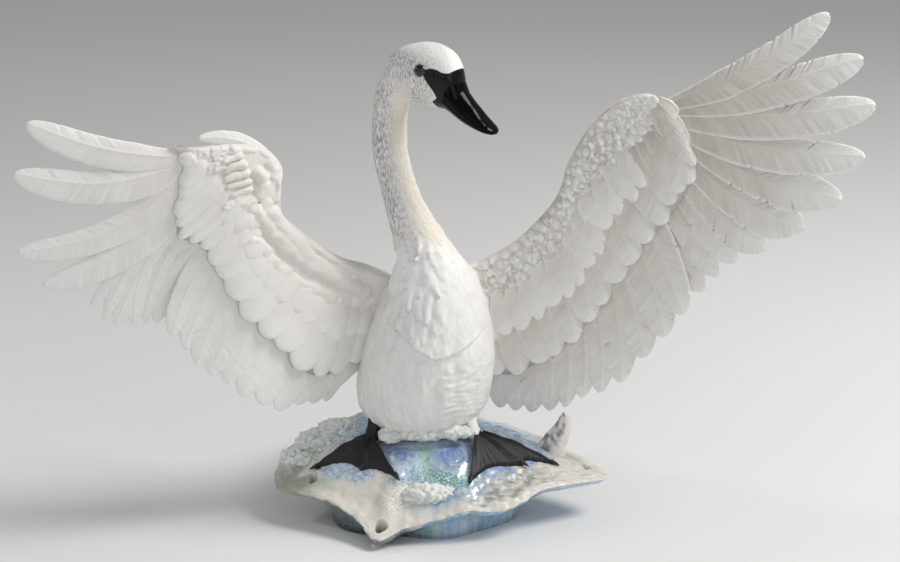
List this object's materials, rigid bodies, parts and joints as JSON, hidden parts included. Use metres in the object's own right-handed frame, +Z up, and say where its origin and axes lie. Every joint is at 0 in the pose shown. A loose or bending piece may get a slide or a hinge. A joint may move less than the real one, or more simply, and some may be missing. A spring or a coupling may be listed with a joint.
{
  "type": "swan figurine",
  "caption": "Porcelain swan rearing up with raised, spread wings, black bill and webbed feet, on a glazed wave base with a foam rim.",
  "frame": {"origin": "middle of the flat foot under the wave base, on the surface that the figurine stands on", "axes": "+Z up, the swan's breast faces -Y, +X to the viewer's right along the spread of the wings"},
  "size_m": [0.6721, 0.2561, 0.4265],
  "materials": {
    "porcelain": "matt white unglazed bisque, with black enamel bill, eyes and feet and a glazed blue-green wave"
  },
  "bodies": {
    "root": {"swan_figurine": "porcelain"}
  },
  "joints": []
}
